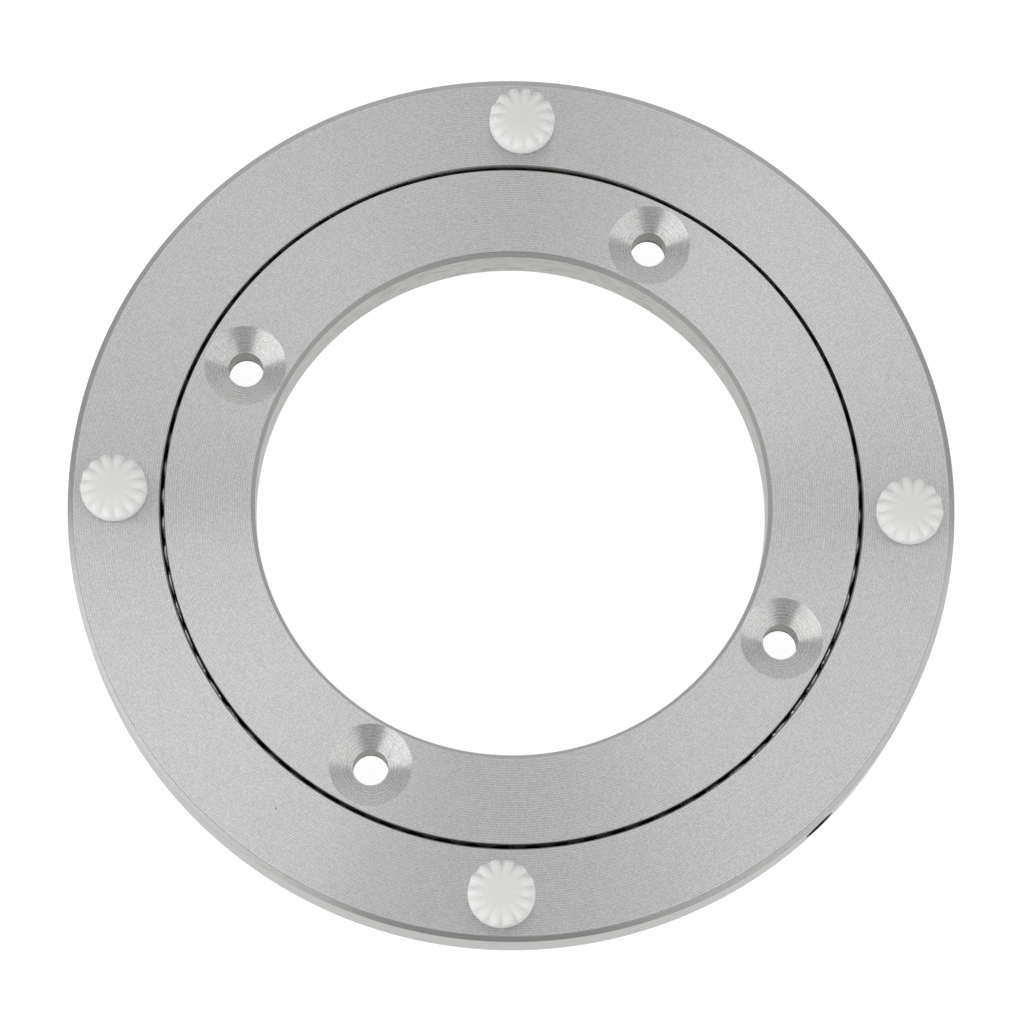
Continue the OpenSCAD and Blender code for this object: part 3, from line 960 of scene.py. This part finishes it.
pads = make_piece(
    "pads_fluted", pad_section, fluted_pads_tree(),
    {"Segments": FLUTE_SEGMENTS * FLUTE_COUNT, "Radius": PAD_R * MM, "Height": PAD_H * MM,
     "Plain Wall": PAD_PLAIN_WALL * MM, "Flute Count": FLUTE_COUNT, "Flute Start": FLUTE_START_R * MM,
     "Flute Depth": FLUTE_DEPTH * MM, "Rim Notch": FLUTE_NOTCH * MM, "Start Width": FLUTE_START_W * MM,
     "Rim Width": FLUTE_RIM_W * MM, "Flute Curve": FLUTE_CURVE, "Flute Sharpness": FLUTE_SHARPNESS,
     "Circle Radius": PAD_CIRCLE_R * MM, "Seat Height": RING_T * MM,
     **{f"Turn {i + 1}": math.radians(turn) for i, turn in enumerate(PAD_TURNS)}}, sharp=60.0)

balls = make_piece(
    "balls_steel", [], ball_circle_tree(),
    {"Ball Count": BALL_COUNT, "Ball Radius": BALL_R * MM, "Pitch Radius": PITCH_R * MM,
     "Height": RACE_Z * MM}, sharp=60.0)

thread_length = PLUG_LENGTH - 2 * PLUG_BEVEL
thread_rows = THREAD_ROWS * round(thread_length / THREAD_PITCH)
plug_section = [
    (0.0, 0.0),
    (PLUG_R - PLUG_BEVEL, 0.0),
    *[(PLUG_R, PLUG_BEVEL + thread_length * i / thread_rows) for i in range(thread_rows + 1)],
    (PLUG_R - PLUG_BEVEL, PLUG_LENGTH),
    (0.0, PLUG_LENGTH),
]
plug = make_piece(
    "port_plug_threaded", plug_section, set_screw_tree(),
    {"Segments": SCREW_SEGMENTS, "Radius": PLUG_R * MM, "Length": PLUG_LENGTH * MM,
     "Thread Pitch": THREAD_PITCH * MM, "Thread Depth": THREAD_DEPTH * MM, "Socket Width": SOCKET_AF * MM,
     "Socket Depth": SOCKET_DEPTH * MM, "Start": PLUG_START * MM, "Axis Height": RACE_Z * MM,
     "Turn": math.radians(PORT_ANGLE)}, sharp=35.0)

for piece, body, slot, nodes in (
        (inner_ring, "base", "ring", ["inner_ring"]),
        (outer_ring, "turntable", "ring", ["outer_ring"]),
        (pads, "turntable", "pad", [f"pad_{i + 1}" for i in range(PAD_COUNT)]),
        (plug, "turntable", "plug", ["port_plug"]),
        (balls, "balls", "ball", [f"ball_pair_{i + 1:02d}" for i in range(BALL_NODES)])):
    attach(piece, body)
    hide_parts(*nodes)


# ---- Floor, light and camera ----

# Half the floor's width in metres, how far it lies under the bearing in millimetres, its
# paint, and how bright it looks where it is the background
FLOOR_REACH = 4.0
FLOOR_DROP = 0.02
FLOOR_PAINT = 0.2
FLOOR_GLOW = 0.92

# Light that falls on the object from all round, next to a white background. The studio's
# walls have a greyer tone up to a height, and are white from another, by the sine of the
# height, measured on a sky that leans back by an angle in degrees
SOFT_LEVEL = 0.5
WALL_TONE = 0.5
WALL_TOP = 0.4
CEILING = 0.95
CEILING_LEAN = 30.0

# Name, direction round the object and height above the horizon in degrees, width and height
# in metres, and brightness next to a white background
BOX_DISTANCE = 0.6
SOFT_BOXES = (
    ("box_front_left", -152.0, 27.0, 0.76, 0.38, 2.4),
    ("box_front_right", -27.0, 27.0, 0.81, 0.38, 1.6),
    ("box_back", 90.0, 25.0, 0.95, 0.3, 0.3),
)

# The photograph's view: angles in degrees, distance from the rings' upper face and the
# point that it looks at there in millimetres, and a long lens
CAMERA_TILT = 14.01
CAMERA_ROLL = 4.34
CAMERA_TURN = -2.74
CAMERA_DISTANCE = 626.1
CAMERA_AIM = (0.127, -1.504)
CAMERA_LENS = 162.77
CAMERA_SENSOR = 36.0


def grey(level):
    """Plain grey of one level, or white."""
    return (level, level, level, 1.0)


def seen_directly(tree):
    """1 for rays that show the background: from the camera, off metal, or through glass."""
    path = add(tree, "ShaderNodeLightPath").outputs
    shown = calc(tree, "MAXIMUM", path["Is Camera Ray"], path["Is Glossy Ray"])
    return calc(tree, "MAXIMUM", shown, path["Is Transmission Ray"])


def lay_floor():
    """Pale floor that looks white and keeps a soft shadow. It can be looked through from below."""
    mesh = bpy.data.meshes.new("floor")
    corners = ((-1, -1), (1, -1), (1, 1), (-1, 1))
    mesh.from_pydata([(x * FLOOR_REACH, y * FLOOR_REACH, -FLOOR_DROP * MM) for x, y in corners],
                     [], [(0, 1, 2, 3)])
    floor = bpy.data.objects.new("floor", mesh)
    bpy.context.scene.collection.objects.link(floor)
    material = bpy.data.materials.new("pale_floor")
    material.use_nodes = True
    tree = material.node_tree
    tree.nodes.clear()
    paint = add(tree, "ShaderNodeBsdfDiffuse", {"Color": grey(FLOOR_PAINT)})
    strength = times(tree, seen_directly(tree), FLOOR_GLOW)
    glow = add(tree, "ShaderNodeEmission", {"Color": grey(1.0), "Strength": strength})
    both = add(tree, "ShaderNodeAddShader", {0: paint.outputs[0], 1: glow.outputs[0]})
    clear = add(tree, "ShaderNodeBsdfTransparent")
    below = add(tree, "ShaderNodeNewGeometry").outputs["Backfacing"]
    one_sided = add(tree, "ShaderNodeMixShader", {0: below, 1: both.outputs[0], 2: clear.outputs[0]})
    add(tree, "ShaderNodeOutputMaterial", {"Surface": one_sided.outputs[0]})
    mesh.materials.append(material)


def light_studio():
    """Even pale surroundings, white where they are seen, and soft boxes round the object.
    Metal sees a white ceiling, and walls that are greyer in front than at the back."""
    world = bpy.data.worlds.new("studio")
    bpy.context.scene.world = world
    world.use_nodes = True
    tree = world.node_tree
    tree.nodes.clear()
    direction = add(tree, "ShaderNodeTexCoord").outputs["Generated"]
    lean = math.radians(CEILING_LEAN)
    leaning = {0: direction, 1: (0.0, math.sin(lean), math.cos(lean))}
    up = add(tree, "ShaderNodeVectorMath", leaning, operation="DOT_PRODUCT").outputs["Value"]
    room = ramp(tree, up, WALL_TOP, CEILING, low=WALL_TONE, interpolation_type="SMOOTHSTEP")
    seen = calc(tree, "MAXIMUM", room, add(tree, "ShaderNodeLightPath").outputs["Is Camera Ray"])
    soft = add(tree, "ShaderNodeBackground", {"Color": grey(1.0), "Strength": SOFT_LEVEL})
    white = add(tree, "ShaderNodeBackground", {"Color": grey(1.0), "Strength": seen})
    shaders = {0: seen_directly(tree), 1: soft.outputs[0], 2: white.outputs[0]}
    mixed = add(tree, "ShaderNodeMixShader", shaders)
    add(tree, "ShaderNodeOutputWorld", {"Surface": mixed.outputs[0]})

    for name, azimuth, height, width, depth, brightness in SOFT_BOXES:
        lamp = bpy.data.lights.new(name, "AREA")
        lamp.shape = "RECTANGLE"
        lamp.size = width
        lamp.size_y = depth
        lamp.energy = brightness * math.pi * width * depth
        box = bpy.data.objects.new(name, lamp)
        bpy.context.scene.collection.objects.link(box)
        way, lift = math.radians(azimuth), math.radians(height)
        flat = Vector((math.cos(way), math.sin(way), 0.0))
        box.location = (flat * math.cos(lift) + Vector((0.0, 0.0, math.sin(lift)))) * BOX_DISTANCE
        box.rotation_euler = box.location.to_track_quat("Z", "Y").to_euler()


def set_camera():
    """Long lens almost straight above, at the photograph's tilt, turn and roll."""
    tilt, roll, turn = (math.radians(angle) for angle in (CAMERA_TILT, CAMERA_ROLL, CAMERA_TURN))
    lift = Vector((0.0, 0.0, RING_T * MM))
    eye = lift + Vector((0.0, -math.sin(tilt), math.cos(tilt))) * (CAMERA_DISTANCE * MM)
    aim = lift + Vector((*CAMERA_AIM, 0.0)) * MM
    ahead = (aim - eye).normalized()
    right = ahead.cross(Vector((0.0, 1.0, 0.0))).normalized()
    up = right.cross(ahead)
    rolled_right = right * math.cos(roll) + up * math.sin(roll)
    rolled_up = up * math.cos(roll) - right * math.sin(roll)
    facing = Matrix((rolled_right, rolled_up, -ahead)).transposed().to_4x4()
    data = bpy.data.cameras.new("camera")
    data.sensor_width = CAMERA_SENSOR
    data.lens = CAMERA_LENS
    camera = bpy.data.objects.new("camera", data)
    bpy.context.scene.collection.objects.link(camera)
    camera.matrix_world = Matrix.Rotation(turn, 4, "Z") @ Matrix.Translation(eye) @ facing
    bpy.context.scene.camera = camera


lay_floor()
light_studio()
set_camera()
bpy.context.scene.view_settings.view_transform = "Standard"
